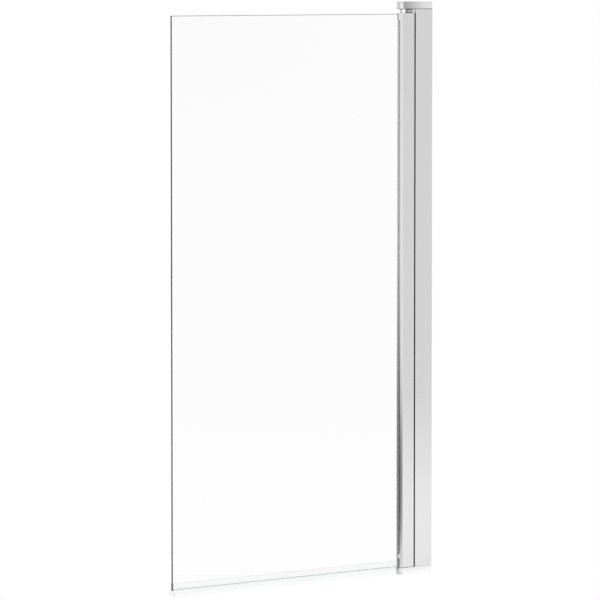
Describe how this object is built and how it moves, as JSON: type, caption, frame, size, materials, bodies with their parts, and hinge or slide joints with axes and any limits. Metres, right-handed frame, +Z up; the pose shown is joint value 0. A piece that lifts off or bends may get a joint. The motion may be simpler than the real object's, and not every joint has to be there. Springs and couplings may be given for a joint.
{
  "type": "bath screen",
  "caption": "Single-panel bath screen: clear glass in a slim bright hinge profile that swings inwards and rises on a cam, on an adjustable wall post.",
  "frame": {"origin": "on the wall plane, at the middle of the row of wall holes, at half the screen's height and on the middle plane of the glass", "axes": "+X into the wall, so the glass runs to -X; -Y is the room side shown in the picture, +Y is over the bath, +Z is up"},
  "size_m": [0.8, 0.0222, 1.4],
  "materials": {
    "channel": "mill",
    "bright_profile": "bright polished",
    "chrome_cap": "polished",
    "chrome_bush": "gloss",
    "cast_bracket": "satin",
    "steel": "satin",
    "cam_plastic": "matt",
    "block_plastic": "gloss",
    "black_rubber": "matt",
    "pale_gasket": "satin",
    "clear_seal": "clear",
    "clear_glass": "clear"
  },
  "bodies": {
    "channel": {"wall_channel": "channel"},
    "post": {"post_profile": "bright_profile", "post_seal": "black_rubber", "top_cap": "chrome_cap", "bottom_cap": "chrome_cap", "top_bracket": "cast_bracket", "bottom_bracket": "cast_bracket", "top_screw_near": "steel", "top_screw_far": "steel", "bottom_screw_near": "steel", "bottom_screw_far": "steel", "top_pin": "steel", "bottom_pin": "steel", "catch_pin": "steel", "lower_cam": "cam_plastic", "lock_screw_1": "steel", "lock_screw_2": "steel", "lock_screw_3": "steel", "lock_nut_1": "steel", "lock_nut_2": "steel", "lock_nut_3": "steel"},
    "guide": {"guide_bush": "chrome_bush"},
    "panel": {"hinge_profile": "bright_profile", "upper_cam": "cam_plastic", "glass_pane": "clear_glass", "glazing_gasket": "pale_gasket", "top_end_block": "block_plastic", "bottom_end_block": "block_plastic", "bottom_seal": "clear_seal"}
  },
  "joints": [
    {"name": "width_adjust", "type": "slide", "parent": "channel", "child": "post", "axis": [-1, 0, 0], "range_m": [0, 0.02]},
    {"name": "panel_lift", "type": "slide", "parent": "post", "child": "guide", "axis": [0, 0, 1], "range_m": [0, 0.006]},
    {"name": "panel_swing", "type": "hinge", "parent": "guide", "child": "panel", "pos_m": [-0.068, 0, 0], "axis": [0, 0, -1], "range_deg": [0, 90]}
  ],
  "couplings": [
    {"joint": "panel_lift", "follows": "panel_swing", "m_per_rad": 0.0038197}
  ]
}
